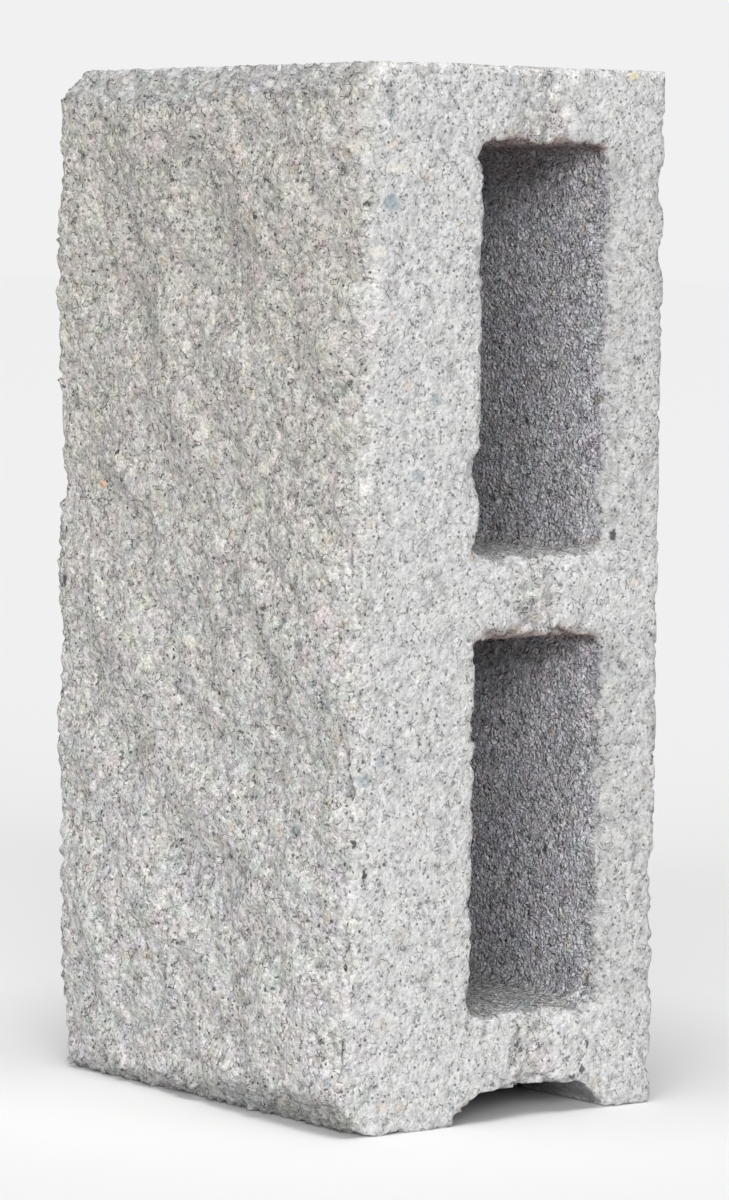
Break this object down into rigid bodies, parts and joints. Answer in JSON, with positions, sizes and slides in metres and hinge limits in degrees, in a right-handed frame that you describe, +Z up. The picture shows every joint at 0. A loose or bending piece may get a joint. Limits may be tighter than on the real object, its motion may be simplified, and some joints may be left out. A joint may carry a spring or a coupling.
{
  "type": "concrete block",
  "caption": "Hollow concrete masonry block with a rough split face, tapered rectangular cores right through its course height and a shallow mortar recess at one end.",
  "frame": {"origin": "middle of the overall box, on the floor plane that the block's recessed end stands on", "axes": "+Z up the block's length, from the recessed end to the flat end; +Y from the split face to the smooth back; +X along the cores, towards the open side where they are widest"},
  "size_m": [0.194, 0.152, 0.397],
  "materials": {
    "concrete": "rough, open-grained grey concrete with a warmer fractured face"
  },
  "bodies": {
    "root": {"block": "concrete"}
  },
  "joints": []
}
